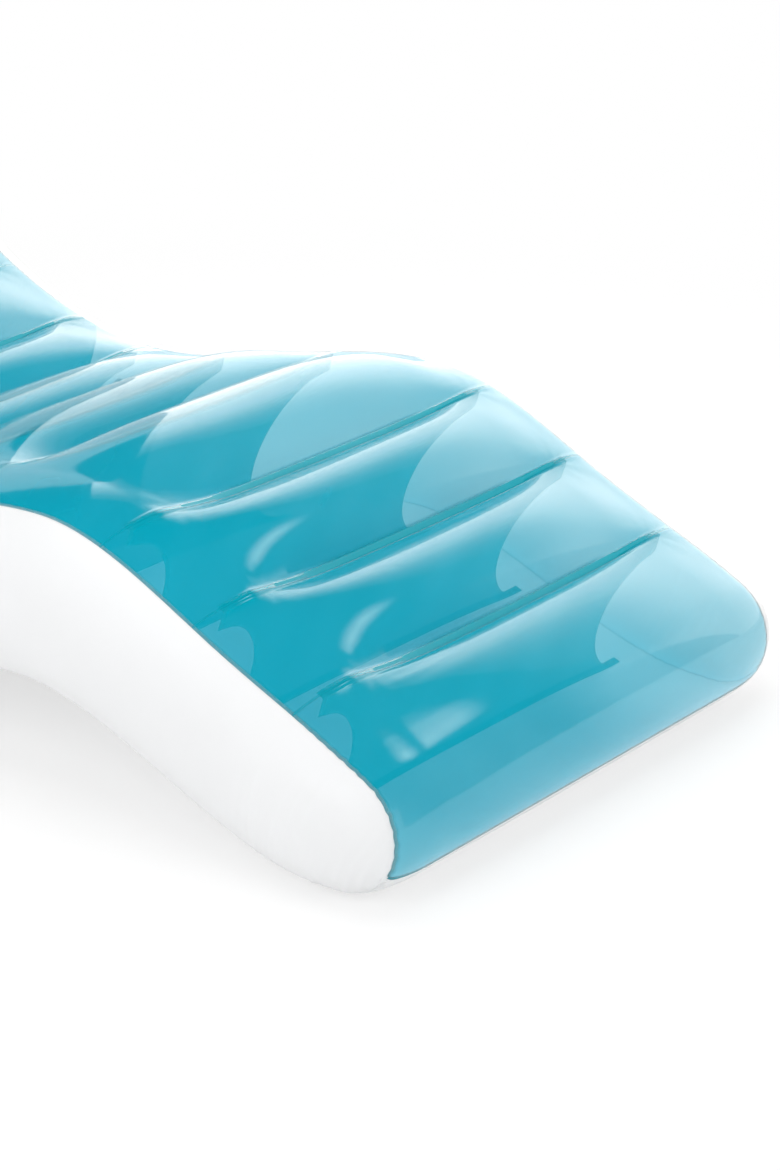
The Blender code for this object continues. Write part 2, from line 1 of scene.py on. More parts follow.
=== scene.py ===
"""Finished look of the inflatable pool chair, built round its CAD frame.

The air body is four welded PVC films: a see-through teal deck, a white floor and two white sides.
Each film is a fine grid over the same outline as the frame. It swells between the welds as film
under air pressure does, its chambers merge beyond the ends of the welds, and it is puckered where
real welded film gathers. Run as a script in Blender 4.5.
"""

import math

import bmesh
import bpy
import numpy as np
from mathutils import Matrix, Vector


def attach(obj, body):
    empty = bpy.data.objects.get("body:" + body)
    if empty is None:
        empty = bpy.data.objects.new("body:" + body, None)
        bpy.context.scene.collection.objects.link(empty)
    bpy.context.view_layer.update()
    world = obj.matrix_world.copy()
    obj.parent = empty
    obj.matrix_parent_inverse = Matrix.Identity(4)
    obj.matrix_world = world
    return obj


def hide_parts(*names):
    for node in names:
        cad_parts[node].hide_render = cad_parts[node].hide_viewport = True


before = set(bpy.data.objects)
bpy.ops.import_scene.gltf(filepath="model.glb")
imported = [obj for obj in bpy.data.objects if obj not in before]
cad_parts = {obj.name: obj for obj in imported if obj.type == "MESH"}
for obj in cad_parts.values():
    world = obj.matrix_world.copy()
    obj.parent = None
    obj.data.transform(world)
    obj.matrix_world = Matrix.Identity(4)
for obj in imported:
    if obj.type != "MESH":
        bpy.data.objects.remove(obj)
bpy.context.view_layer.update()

bl_info = {
    "name": "Inflatable pool chair",
    "version": (1, 0, 0),
    "blender": (4, 5, 0),
    "location": "View3D > Sidebar > Pool chair",
    "description": "Builds the welded films, webs, valves and studio of an inflatable pool chair",
    "category": "Object",
}

# Side outline of the air body. Places are (share of the length, height in metres, slope)
FOOT_NOSE_RADIUS = 0.088
HEAD_NOSE_RADIUS = 0.100
HEAD_NOSE_HEIGHT = 0.425
FOOT_DECK_ANGLE = math.radians(28)
FOOT_SEAM_ANGLE = math.radians(214)
HEAD_DECK_ANGLE = math.radians(31)
HEAD_SEAM_ANGLE = math.radians(-50)
SHIN = (-0.3266, 0.303, 0.49)
KNEE = (-0.168, 0.408, 0.0)
SEAT = (0.155, 0.309, 0.0)
BACK = (0.348, 0.410, 0.56)
FOOT_LIFT = 0.0102
FOOT_REST = (-0.438, FOOT_LIFT, 0.0)
KNEE_ARCH = (-0.150, 0.160, 0.0)
SEAT_REST = (0.162, 0.0217, 0.0)
UNDER_BACK = (0.293, 0.102, 0.55)
DECK_WELD_Y_SHARES = (-0.4082, -0.3157, -0.2273, -0.0736, 0.0508, 0.1561, 0.2433, 0.3315, 0.409)
DIVIDER_INDEX = 6

# Swelling of the films: heights and distances in metres, the rest shares and powers
END_SKEW_SHARE = 0.6
DECK_END_CROWN = 0.028
FLOOR_END_CROWN = 0.004
LARGEST_CROWN = 0.052
SEAM_BOW = 0.0135
SIDE_FADE = 0.15
SIDE_LEAN_SHARE = 0.10
CURVE_STEPS = 60
CHAMBER_ENDS = (0.335, 0.415)  # where the chambers merge, left and right of the middle
CHAMBER_POWERS = (4.0, 1.5)
SEAM_RISES = (0.022, 0.016)  # height of the merged film, left and right
RISE_FADE_SHARE = 0.10
MARGIN_SHARES = (0.28, 0.10)  # width of the rounded edge, and how much of it the ends lose
SWELL_POWERS = (0.75, 0.25)
BEAD_HEIGHT = 0.0007
BEAD_SHARE = 0.41

# Creases and gathers, in metres: pitches, reaches and heights
CREASE_END_SHARE = 0.92
CREASE_SPREAD = 0.006
NOSE_REACH, NOSE_FADE = 0.30, 0.10
GATHER_PITCH = 0.019
SCALLOP_HEIGHT = 0.0026
FAN_START = 0.012
FAN_SPREAD = 1.5  # radians
FAN_RAYS = (6.5, 8.5)
FULL_TURN = 6.28
FAN_PEAK, FAN_DECAY = 0.015, 0.020
PUCKER_HEIGHT = 0.0009
GROOVES = ((-0.024, 0.007, -0.0011), (-0.041, 0.009, -0.0006))  # place, width and height
GROOVE_WANDER = 0.004
SEAM_GATHER_RANGE = (0.004, 0.016)
SIDE_NOSE_REACH, SIDE_NOSE_FADE = 0.33, 0.12
SIDE_GATHER_HEIGHT = 0.0013
SIDE_GATHER_RANGE = (0.006, 0.022)
SIDE_SECOND_PITCH = 0.0305
SIDE_WAVE_PITCH, SIDE_WAVE_HEIGHT = 0.21, 0.00066

# How dense the deck film looks: shares of a full cover, widths in metres
END_SEAM_COVER, END_SEAM_WIDTH = 0.6, 0.005
SIDE_SEAM_COVER, SIDE_SEAM_WIDTH = 0.15, 0.004
SEAM_BLUR, STRIP_BLUR = 0.002, 0.0015
STRIP_TAPER = 0.20
NOSE_COVER = 0.8
MATT_COVER = 0.5  # where the film is dense enough to be a weld, and matt

# Webs and divider
WEB_REACH_SHARE = 0.89
WEB_END_CUT_SHARE = 0.46
WEB_TOP_STRIP = 0.03
WEB_RIPPLE, WEB_RIPPLE_LENGTH = 0.0012, 0.021
WEB_CELLS = (60, 40)
DIVIDER_CELLS = (80, 16)
DIVIDER_SIDE_GAP = 0.004
DIVIDER_BULGE_START = 0.30
DIVIDER_BULGE_GAP = 0.003

# Grids of the films: steps in metres, and cells across them
DECK_STEP = 0.0062
DECK_COLUMNS = 112
FLOOR_COLUMNS = 64
SIDE_HEIGHTS = 30
LEAST_CELLS = 6
EVEN_SHARE, EASED_SHARE = 0.6, 0.2
BAND_SHARES = (-0.5, -0.4, -0.2, 0.0, 0.2, 0.4, 0.5)
BAND_ROWS = len(BAND_SHARES) // 2  # from the middle of a weld to its edge

# Joints of the films: the gap in a weld, the lap's width and the cells that set its direction
GAP = 0.0003
LAP = 0.005
DECK_LAP_CELLS = 3
FLOOR_LAP_CELLS = 2
MERGE_DISTANCE = 2e-5
SLIVER = 1e-6

# Painted light on the inner faces, how pale their glow is: floor (most, start), sides (least,
# gain, height of the gain)
FLOOR_PAINTED_DAYLIGHT = (0.3, 0.35)
SIDE_PAINTED_DAYLIGHT = (0.2, 0.42, 0.45)

# Sockets of the two colours of a Mix node
FIRST_COLOUR, SECOND_COLOUR = 6, 7

# Studio. Lights are (name, place, size, radiance), cards are seen in the film's gloss alone
CARD_LEVELS = (3.2, 1.5)  # of the bright card, at its foot end and its head end
CARD_FADE = (1.0, 0.12)  # from its middle to its top
WARM_WHITE = (1.0, 0.90, 0.85, 1.0)
SOFTBOX_PLACE = (1.78, -1.30, 2.98)
SOFTBOX_DIRECTION = (0.596, -0.241, 0.766)
SOFTBOX_RADIUS = 0.5
SOFTBOX_PEAK = 4.5
FLOOR_SIZE, FLOOR_DROP = 60.0, 0.001
HIDDEN_FROM = ("visible_camera", "visible_diffuse", "visible_shadow", "visible_transmission")
CHAIR_MIDDLE = (0, 0, 0.2)
LIGHTS = (
    ("left_fill", (-5, -1, 4.5), (4.0, 3.0), 2.4),
    ("front_fill", (1.5, -5.5, 3.0), (4.0, 3.0), 1.2),
    ("right_fill", (5, 1.5, 3.5), (4.0, 3.0), 1.2),
)

# The camera that took the photograph
PHOTO_HEIGHT = 1170
FOCAL_PIXELS = 3098.58
CAMERA_AZIMUTH = math.radians(-51.0279)
CAMERA_ELEVATION = math.radians(21.9863)
CAMERA_PLACE = (-3.2207, -3.1808, 1.9048)


# ---- lines and rows


class Line:
    """A line in the Y-Z plane, read by the distance along it. Side is 1 if up is outwards."""

    def __init__(self, points, side):
        self.y, self.z = np.array(points, float).T
        steps = np.hypot(np.diff(self.y), np.diff(self.z))
        self.marks = np.concatenate([[0.0], np.cumsum(steps)])
        self.length = float(self.marks[-1])
        self.side = side

    def at(self, distances):
        """Points (0, y, z) at an array of distances."""
        y, z = np.interp(distances, self.marks, self.y), np.interp(distances, self.marks, self.z)
        return np.stack([np.zeros_like(y), y, z], -1)

    def normals(self, distances):
        """Unit vectors square to the line, out of the air body."""
        reach = self.length / (4 * CURVE_STEPS)
        low, high = np.maximum(distances - reach, 0), np.minimum(distances + reach, self.length)
        along = self.at(high) - self.at(low)
        along /= np.linalg.norm(along, axis=1)[:, None]
        return np.stack([along[:, 0], -along[:, 2], along[:, 1]], -1) * self.side

    def distance_at_y(self, y):
        """Distance along the line at which it last passes a Y place."""
        index = int(np.nonzero(self.y <= y)[0][-1])
        share = (y - self.y[index]) / (self.y[index + 1] - self.y[index])
        return float(self.marks[index] + share * (self.marks[index + 1] - self.marks[index]))


def arc_points(centre, radius, start, end):
    """Points (y, z) of an arc between two angles."""
    angles = np.linspace(start, end, CURVE_STEPS)
    return [(centre[0] + radius * math.cos(a), centre[1] + radius * math.sin(a)) for a in angles]


def curve_points(knots):
    """Smooth line through (y, z, slope) knots."""
    points = []
    for (y0, z0, m0), (y1, z1, m1) in zip(knots, knots[1:]):
        run = y1 - y0
        for t in np.linspace(0, 1, CURVE_STEPS, endpoint=False):
            near, far = (1 + 2 * t) * (1 - t) ** 2, t * t * (3 - 2 * t)
            bend = run * (m0 * t * (1 - t) ** 2 - m1 * t * t * (1 - t))
            points.append((y0 + run * t, near * z0 + far * z1 + bend))
    return points + [knots[-1][:2]]


def side_outline(length):
    """Deck line and floor line of the seams, both from the foot seam to the head seam."""

    def knot(share, height, slope):
        return (share * length, height, slope)

    def tangent(centre, radius, angle, slope):
        y, z = centre[0] + radius * math.cos(angle), centre[1] + radius * math.sin(angle)
        return (y, z, slope)

    foot = (FOOT_NOSE_RADIUS - length / 2, FOOT_NOSE_RADIUS + FOOT_LIFT)
    head = (length / 2 - HEAD_NOSE_RADIUS, HEAD_NOSE_HEIGHT)
    foot_top, head_top = math.pi / 2 + FOOT_DECK_ANGLE, math.pi / 2 + HEAD_DECK_ANGLE
    foot_bottom, head_bottom = 1.5 * math.pi, head_top - math.pi
    foot_slope, head_slope = math.tan(FOOT_DECK_ANGLE), math.tan(HEAD_DECK_ANGLE)
    deck = curve_points(
        [tangent(foot, FOOT_NOSE_RADIUS, foot_top, foot_slope)]
        + [knot(*place) for place in (SHIN, KNEE, SEAT, BACK)]
        + [tangent(head, HEAD_NOSE_RADIUS, head_top, head_slope)]
    )
    floor = curve_points(
        [tangent(foot, FOOT_NOSE_RADIUS, foot_bottom, 0.0)]
        + [knot(*place) for place in (FOOT_REST, KNEE_ARCH, SEAT_REST, UNDER_BACK)]
        + [tangent(head, HEAD_NOSE_RADIUS, head_bottom, head_slope)]
    )
    foot_up = arc_points(foot, FOOT_NOSE_RADIUS, FOOT_SEAM_ANGLE, foot_top)[:-1]
    foot_down = arc_points(foot, FOOT_NOSE_RADIUS, FOOT_SEAM_ANGLE, foot_bottom)[:-1]
    head_up = arc_points(head, HEAD_NOSE_RADIUS, head_top, HEAD_SEAM_ANGLE)[1:]
    head_down = arc_points(head, HEAD_NOSE_RADIUS, head_bottom, HEAD_SEAM_ANGLE)[1:]
    return Line(foot_up + deck + head_up, 1), Line(foot_down + floor + head_down, -1)


def weld_places(deck, floor, length):
    """Distances of the welds along the deck line and along the floor line."""
    on_deck = np.array([deck.distance_at_y(share * length) for share in DECK_WELD_Y_SHARES])
    deck_start = FOOT_NOSE_RADIUS * (FOOT_SEAM_ANGLE - math.pi / 2 - FOOT_DECK_ANGLE)
    deck_end = deck.length - HEAD_NOSE_RADIUS * (math.pi / 2 + HEAD_DECK_ANGLE - HEAD_SEAM_ANGLE)
    floor_start = FOOT_NOSE_RADIUS * (1.5 * math.pi - FOOT_SEAM_ANGLE)
    floor_end = floor.length - HEAD_NOSE_RADIUS * (HEAD_SEAM_ANGLE - HEAD_DECK_ANGLE + math.pi / 2)
    scale = (floor_end - floor_start) / (deck_end - deck_start)
    return on_deck, floor_start + (on_deck - deck_start) * scale


def spaced(start, end, step):
    """Distances from start to just before end, closer together near both."""
    count = max(int(math.ceil((end - start) / step)), LEAST_CELLS)
    even = np.arange(count) / count
    eased = 1 - np.cos(math.pi * even)
    return start + (end - start) * (EVEN_SHARE * even + EASED_SHARE * eased)


def film_rows(length, welds, band, step):
    """Distances of a film's rows, a tight group of them on each weld band."""
    rows, start = [], 0.0
    for weld in welds:
        rows += list(spaced(start, weld - band / 2, step))
        rows += [weld + band * share for share in BAND_SHARES[:-1]]
        start = weld + band / 2
    rows += list(spaced(start, length, step))
    return np.array(rows + [length])


def knots_of(length, welds, band):
    """Ends of the chambers along a line: the seams and both sides of each band."""
    inner = np.stack([welds - band / 2, welds + band / 2], -1).ravel()
    return np.concatenate([[0.0], inner, [length]])


def across_shares(columns, bunching=0.8):
    """Shares of the half width from -1 to 1, closer together near the seams."""
    even = np.linspace(-1, 1, columns + 1)
    return np.sin(even * math.pi / 2 * bunching) / math.sin(math.pi / 2 * bunching)


def smooth_step(value):
    """0 below 0, 1 above 1, and a smooth rise between."""
    held = np.clip(value, 0.0, 1.0)
    return held * held * (3 - 2 * held)


# ---- film under pressure


def crown_profile(rows, length, welds, band, crown_share, end_crown):
    """Height of the film over its seam line in the middle of its width."""
    knots = knots_of(length, welds, band)
    height = np.zeros_like(rows)
    first, last = knots[1], knots[-2]

    def end_rise(out):
        return end_crown * np.sin(math.pi * out**END_SKEW_SHARE) + SEAM_BOW * out

    near, far = rows < first, rows > last
    height[near] = end_rise(1 - rows[near] / first)
    height[far] = end_rise((rows[far] - last) / (length - last))
    for start, end in zip(knots[2:-2:2], knots[3:-1:2]):
        inside = (rows > start) & (rows < end)
        chord = end - start
        crown = min(crown_share * chord, LARGEST_CROWN)
        radius = (chord**2 / 4 + crown**2) / (2 * crown)
        off_middle = rows[inside] - (start + end) / 2
        height[inside] = np.sqrt(radius**2 - off_middle**2) - (radius - crown)
    return height


class Body:
    """Everything that the films share: lines, welds, rows and the surfaces of deck and floor."""

    def __init__(self, sizes):
        self.half = sizes.seam_width / 2
        self.band = sizes.weld_band
        self.film = sizes.film
        self.tuck = sizes.film + GAP
        self.bulge = sizes.side_bulge
        self.deck_line, self.floor_line = side_outline(sizes.length)
        self.deck_welds, self.floor_welds = weld_places(
            self.deck_line, self.floor_line, sizes.length
        )
        self.reach = self.half * WEB_REACH_SHARE
        self.rows = film_rows(self.deck_line.length, self.deck_welds, self.band, DECK_STEP)
        self.floor_rows = np.interp(
            self.rows,
            knots_of(self.deck_line.length, self.deck_welds, self.band),
            knots_of(self.floor_line.length, self.floor_welds, self.band),
        )
        self.deck_x = self.half * across_shares(DECK_COLUMNS)
        self.floor_x = self.half * across_shares(FLOOR_COLUMNS)
        self.deck = self.surface(
            self.deck_line, self.rows, self.deck_welds, self.deck_x, sizes.deck_crown, True
        )
        self.floor = self.surface(
            self.floor_line,
            self.floor_rows,
            self.floor_welds,
            self.floor_x,
            sizes.floor_crown,
            False,
        )
        self.floor[..., 2] = np.maximum(self.floor[..., 2], 0.0)

    def surface(self, line, rows, welds, x, crown, is_deck):
        """Points of a film's outer face, rows by columns."""
        end_crown = DECK_END_CROWN if is_deck else FLOOR_END_CROWN
        profile = crown_profile(rows, line.length, welds, self.band, crown, end_crown)
        reach = np.where(x < 0, *CHAMBER_ENDS)
        out_to_reach = np.minimum(np.abs(x)[None] / reach, 1)
        held = (1 - out_to_reach ** CHAMBER_POWERS[0]) ** CHAMBER_POWERS[1]
        first, last = welds[0] - self.band / 2, welds[-1] + self.band / 2
        end = np.where(rows < first, 1 - rows / first, 0.0)
        end = np.where(rows > last, (rows - last) / (line.length - last), end)[:, None]
        held = held + (1 - held) * end
        from_end = np.minimum(rows, line.length - rows)
        fade = smooth_step(from_end / (RISE_FADE_SHARE * line.length))[:, None]
        margin = MARGIN_SHARES[0] - MARGIN_SHARES[1] * end
        inset = np.clip((self.half - np.abs(x)[None]) / (margin * self.half), 0, 1)
        swell = (1 - (1 - inset) ** 2) ** (SWELL_POWERS[0] - SWELL_POWERS[1] * end)
        rise = np.where(x < 0, *SEAM_RISES) * fade * (1 - held) * (1 - end)
        height = swell * (rise + profile[:, None] * held)
        bead = np.abs(rows[:, None] - welds).min(1) < self.band * BEAD_SHARE
        height += BEAD_HEIGHT * bead[:, None] * swell
        if is_deck:
            height += deck_puckers(rows, welds, x, self.half, line.length)
        points = line.at(rows)[:, None] + line.normals(rows)[:, None] * height[..., None]
        points[..., 0] = x[None] * (1 + seam_scallops(rows, line.length)[:, None] / self.half)
        return points


def crease_tips():
    """How far from the middle each weld's crease runs, to the left and to the right."""
    shape = (len(DECK_WELD_Y_SHARES), 2)
    spread = np.random.default_rng(11).uniform(-CREASE_SPREAD, CREASE_SPREAD, shape)
    return CREASE_END_SHARE * np.array(CHAMBER_ENDS) + spread


def near_noses(places, length, reach=NOSE_REACH, fade=NOSE_FADE):
    """1 near both ends of the air body, fading to 0 at a distance of reach from them."""
    return smooth_step((reach - np.minimum(places, length - places)) / fade)


def seam_scallops(rows, length):
    """Small outward waves of the side seams round both noses, where the film gathers."""
    waves = np.abs(np.sin(math.pi * rows / GATHER_PITCH))
    return SCALLOP_HEIGHT * near_noses(rows, length) * waves


def deck_puckers(rows, welds, x, half, length):
    """Fine creases: rays at the tips of the welds, ripples beside them, gathers at the seams."""
    noise = np.random.default_rng(5)
    tips = crease_tips()
    s, across = rows[:, None], x[None]
    extra = np.zeros((len(rows), len(x)))
    for index, weld in enumerate(welds):
        for side, tip in ((-1, tips[index, 0]), (1, tips[index, 1])):
            out, along = side * across - tip + FAN_START, s - weld
            far = np.hypot(out, along)
            angle = np.arctan2(along, out)
            rays = np.cos(angle * noise.uniform(*FAN_RAYS) + noise.uniform(0, FULL_TURN))
            fan = np.exp(-((angle / FAN_SPREAD) ** 2)) * far / FAN_PEAK * np.exp(-far / FAN_DECAY)
            extra += PUCKER_HEIGHT * rays * fan
        inner = smooth_step((tips[index].mean() - 0.03 - np.abs(across)) / 0.06)
        for offset, width, height in GROOVES:
            centre = noise.uniform(-0.25, 0.1)
            span = np.exp(-(((across - centre) / noise.uniform(0.13, 0.22)) ** 2))
            bends = across * noise.uniform(9, 14) + noise.uniform(0, FULL_TURN)
            wander = GROOVE_WANDER * np.sin(bends)
            groove = np.exp(-(((s - weld - offset - wander) / width) ** 2))
            extra += height * groove * span * inner
    zone = 0.25 + near_noses(s, length)
    from_seam = half - np.abs(across)
    start, decay = SEAM_GATHER_RANGE
    depth = np.exp(-from_seam / decay) * (1 - np.exp(-from_seam / start))
    extra += PUCKER_HEIGHT * zone * depth * np.cos(2 * math.pi * s / GATHER_PITCH)
    return extra


# ---- meshes


def film_object(name, points, outward, materials, thickness, uv=None, layers=None):
    """Film through a grid of points: its outer face on them, its thickness inside.

    Materials are the outer face's and, where the inner face looks different, the inner one's.
    """
    rows, columns = points.shape[:2]
    index = np.arange(rows * columns).reshape(rows, columns)
    quads = np.stack([index[:-1, :-1], index[:-1, 1:], index[1:, 1:], index[1:, :-1]], -1)
    quads = quads.reshape(-1, 4)
    flat = points.reshape(-1, 3)
    corner = flat[quads]
    facing = np.cross(corner[:, 2] - corner[:, 0], corner[:, 3] - corner[:, 1]).sum(0)
    if facing @ np.array(outward) < 0:
        quads = quads[:, ::-1]
    data = bpy.data.meshes.new(name)
    data.from_pydata(flat.tolist(), [], quads.tolist())
    if uv is not None:
        layer = data.uv_layers.new(name="film_map")
        loops = np.zeros(len(data.loops), np.int32)
        data.loops.foreach_get("vertex_index", loops)
        layer.data.foreach_set("uv", uv.reshape(-1, 2)[loops].astype(np.float32).ravel())
    for label, values in (layers or {}).items():
        attribute = data.attributes.new(label, "FLOAT", "POINT")
        attribute.data.foreach_set("value", values.astype(np.float32).ravel())
    mesh = bmesh.new()
    mesh.from_mesh(data)
    bmesh.ops.remove_doubles(mesh, verts=mesh.verts, dist=MERGE_DISTANCE)
    bmesh.ops.dissolve_degenerate(mesh, edges=mesh.edges, dist=SLIVER)
    mesh.to_mesh(data)
    mesh.free()
    data.validate()
    item = bpy.data.objects.new(name, data)
    bpy.context.scene.collection.objects.link(item)
    for material in materials:
        data.materials.append(material)
    wall = item.modifiers.new("film", "SOLIDIFY")
    wall.thickness = thickness
    wall.offset = -1
    wall.material_offset = len(materials) - 1
    apply_modifiers(item)
    item.data.shade_smooth()
    return item


def apply_modifiers(item):
    """Applies a piece's modifiers in order."""
    bpy.ops.object.select_all(action="DESELECT")
    item.select_set(True)
    bpy.context.view_layer.objects.active = item
    for step in list(item.modifiers):
        bpy.ops.object.modifier_apply(modifier=step.name)


def points_on(surface, columns, row, x):
    """Points across one row of a film, at the places x between its columns."""
    return np.stack([np.interp(x, columns, surface[row, :, k]) for k in range(3)], -1)


def lap_under(edge, inner, tuck, outward):
    """Seam and lap points just inside a film's edge. The inner line gives the lap's direction."""
    across = inner - edge
    across /= np.linalg.norm(across, axis=1)[:, None]
    along = np.gradient(edge, axis=0)
    normal = np.cross(across, along)
    normal /= np.linalg.norm(normal, axis=1)[:, None] + 1e-12
    normal *= np.where((normal * outward).sum(1) < 0, -1, 1)[:, None]
    seam = edge - normal * tuck
    return seam, seam + across * LAP


def side_film_points(body, side):
    """Points of one side film: lap under the floor, swelled ribs, lap under the deck."""
    edge = 0 if side < 0 else -1
    step = 1 if side < 0 else -1
    top, low = body.deck[:, edge], body.floor[:, edge]
    rib = top - low
    middle = (top + low) / 2
    corners = middle[[0, -1]]
    nearest = np.linalg.norm(middle[:, None] - corners[None], axis=2).min(1)
    fade = np.minimum(nearest / SIDE_FADE, 1)
    depth = body.bulge * np.sqrt(1 - (1 - fade) ** 2)
    upward = rib / (np.linalg.norm(rib, axis=1)[:, None] + 1e-9)
    inner_top = body.deck[:, edge + DECK_LAP_CELLS * step]
    inner_low = body.floor[:, edge + FLOOR_LAP_CELLS * step]
    top_seam, top_lap = lap_under(top, inner_top, body.tuck, upward)
    low_seam, low_lap = lap_under(low, inner_low, body.tuck, -upward)
    share = (1 - np.cos(np.linspace(0, math.pi, SIDE_HEIGHTS + 1)[1:-1])) / 2
    swell = np.sqrt(1 - (2 * share - 1) ** 2)
    lean = 1 + SIDE_LEAN_SHARE * (share - 0.5)
    ribs = low[:, None] + rib[:, None] * share[None, :, None]
    ribs[..., 0] += side * depth[:, None] * (swell * lean)[None]
    ribs[..., 0] += side * side_puckers(body, share, np.linalg.norm(rib, axis=1))
    grid = np.concatenate(
        [low_lap[:, None], low_seam[:, None], ribs, top_seam[:, None], top_lap[:, None]], 1
    )
    for row in (0, -1):
        grid[row, 1:-1] = (top_seam[row] + low_seam[row]) / 2
        grid[row, 0] = grid[row, -1] = (top_lap[row] + low_lap[row]) / 2
    return grid


def side_puckers(body, share, rib_length):
    """Radial gathers near both noses and faint ones elsewhere, deepest close to the seams."""
    zone = 0.10 + near_noses(body.rows, body.deck_line.length, SIDE_NOSE_REACH, SIDE_NOSE_FADE)
    from_seam = np.minimum(share[None], 1 - share[None]) * rib_length[:, None]
    start, decay = SIDE_GATHER_RANGE
    depth = (1 - np.exp(-from_seam / start)) * np.exp(-from_seam / decay)
    noise = np.random.default_rng(3)
    turns = 2 * math.pi * body.rows
    wave = np.cos(turns / GATHER_PITCH)
    wave += 0.5 * np.cos(turns / SIDE_SECOND_PITCH + noise.uniform(0, 6))
    broad = np.cos(turns / SIDE_WAVE_PITCH)[:, None] * np.sin(math.pi * share)[None]
    gathers = SIDE_GATHER_HEIGHT * (zone * (wave - 1.0))[:, None] * depth
    return gathers + SIDE_WAVE_HEIGHT * broad


def web_points(body, index):
    """Points of one cross web: flange on the floor's weld, wall, flange on the deck's weld.

    Both ends are cut in a deep curve, which leaves the chambers joined beside the side films.
    """
    row = int(np.abs(body.rows - body.deck_welds[index]).argmin())
    first, last = row - BAND_ROWS, row + BAND_ROWS
    u, share = np.linspace(-1, 1, WEB_CELLS[0] + 1), np.linspace(0, 1, WEB_CELLS[1] + 1)
    deck_middle = body.deck[row, DECK_COLUMNS // 2]
    height = np.linalg.norm(deck_middle - body.floor[row, FLOOR_COLUMNS // 2])
    below_strip = np.minimum(share / (1 - WEB_TOP_STRIP / height), 1)
    cut = WEB_END_CUT_SHARE * height * np.sqrt(1 - (2 * below_strip - 1) ** 2)
    x = u[:, None] * (body.reach - cut)[None]
    top = points_on(body.deck, body.deck_x, first, x)
    low = points_on(body.floor, body.floor_x, first, x)
    rib = top - low
    rib /= np.linalg.norm(rib, axis=-1)[..., None]
    top, low = top - rib * body.tuck, low + rib * body.tuck
    wall = low + (top - low) * share[None, :, None]
    wall[..., 1] += WEB_RIPPLE * np.sin(math.pi * share)[None] * np.sin(x / WEB_RIPPLE_LENGTH)
    top_far = points_on(body.deck, body.deck_x, last, x[:, -1]) - rib[:, -1] * body.tuck
    low_far = points_on(body.floor, body.floor_x, last, x[:, 0]) + rib[:, 0] * body.tuck
    return np.concatenate([low_far[:, None], wall, top_far[:, None]], 1)


def divider_points(body):
    """Points of the full-width web that parts the air chambers."""
    row = int(np.abs(body.rows - body.deck_welds[DIVIDER_INDEX]).argmin())
    band_edges = (row - BAND_ROWS, row + BAND_ROWS)
    inner = body.half - DIVIDER_SIDE_GAP
    x = np.linspace(-inner, inner, DIVIDER_CELLS[0] + 1)
    share = np.linspace(0, 1, DIVIDER_CELLS[1] + 1)
    top, top_far = (points_on(body.deck, body.deck_x, place, x) for place in band_edges)
    low, low_far = (points_on(body.floor, body.floor_x, place, x) for place in band_edges)
    rib = (top - low) / np.linalg.norm(top - low, axis=1)[:, None]
    top, top_far = top - rib * body.tuck, top_far - rib * body.tuck
    low, low_far = low + rib * body.tuck, low_far + rib * body.tuck
    wall = low[:, None] + (top - low)[:, None] * share[None, :, None]
    swell = np.sqrt(1 - (2 * share - 1) ** 2)
    start = DIVIDER_BULGE_START
    outer = smooth_step((np.abs(x) - start) / (inner - start)) ** 2
    bulge = np.sign(x)[:, None] * outer[:, None] * (body.bulge - DIVIDER_BULGE_GAP)
    wall[..., 0] += bulge * swell[None]
    return np.concatenate([low_far[:, None], wall, top_far[:, None]], 1)


# ---- materials


def linear(colour):
    """Linear RGBA of an sRGB hex colour such as "00a6b8"."""
    parts = [int(colour[i : i + 2], 16) / 255 for i in (0, 2, 4)]
    return (*[c / 12.92 if c <= 0.04045 else ((c + 0.055) / 1.055) ** 2.4 for c in parts], 1.0)


def add_node(tree, kind, settings=None, values=None, links=None):
    """One node: its settings, the values of its sockets, and the sockets that feed it."""
    node = tree.nodes.new(kind)
    for name, value in (settings or {}).items():
        setattr(node, name, value)
    for socket, value in (values or {}).items():
        node.inputs[socket].default_value = value
    for socket, source in (links or {}).items():
        tree.links.new(source, node.inputs[socket])
    return node


def new_material(name, shader_values):
    """A material, its node tree and its Principled shader with some sockets set."""
    material = bpy.data.materials.new(name)
    material.use_nodes = True
    tree = material.node_tree
    shader = tree.nodes["Principled BSDF"]
    for socket, value in shader_values.items():
        shader.inputs[socket].default_value = value
    return material, tree, shader


def cloudy_film(tree, shader, tones, size, grain, roughness):
    """Slow drift of tone, slight haze and soft ripples, as calendering or a mould leaves them.

    Size and grain are the lengths of a cloud and of a ripple, in metres. Gives the tone's socket.
    """
    place = add_node(tree, "ShaderNodeTexCoord").outputs["Object"]
    cloud, haze, ripple = (
        add_node(
            tree,
            "ShaderNodeTexNoise",
            values={"Scale": 1 / length, "Detail": detail},
            links={"Vector": place},
        ).outputs["Fac"]
        for length, detail in ((size, 3.0), (size / 6, 4.0), (grain, 0.0))
    )
    ramp = add_node(tree, "ShaderNodeValToRGB", links={"Fac": cloud})
    for element, stop, tone in zip(ramp.color_ramp.elements, (0.35, 0.65), tones):
        element.position, element.color = stop, tone
    rough = add_node(
        tree,
        "ShaderNodeMapRange",
        values={"To Min": roughness[0], "To Max": roughness[1]},
        links={"Value": haze},
    )
    tree.links.new(rough.outputs["Result"], shader.inputs["Roughness"])
    bump = add_node(
        tree,
        "ShaderNodeBump",
        values={"Strength": 0.05, "Distance": 0.0006},
        links={"Height": ripple},
    )
    tree.links.new(bump.outputs["Normal"], shader.inputs["Normal"])
    return ramp.outputs["Color"]


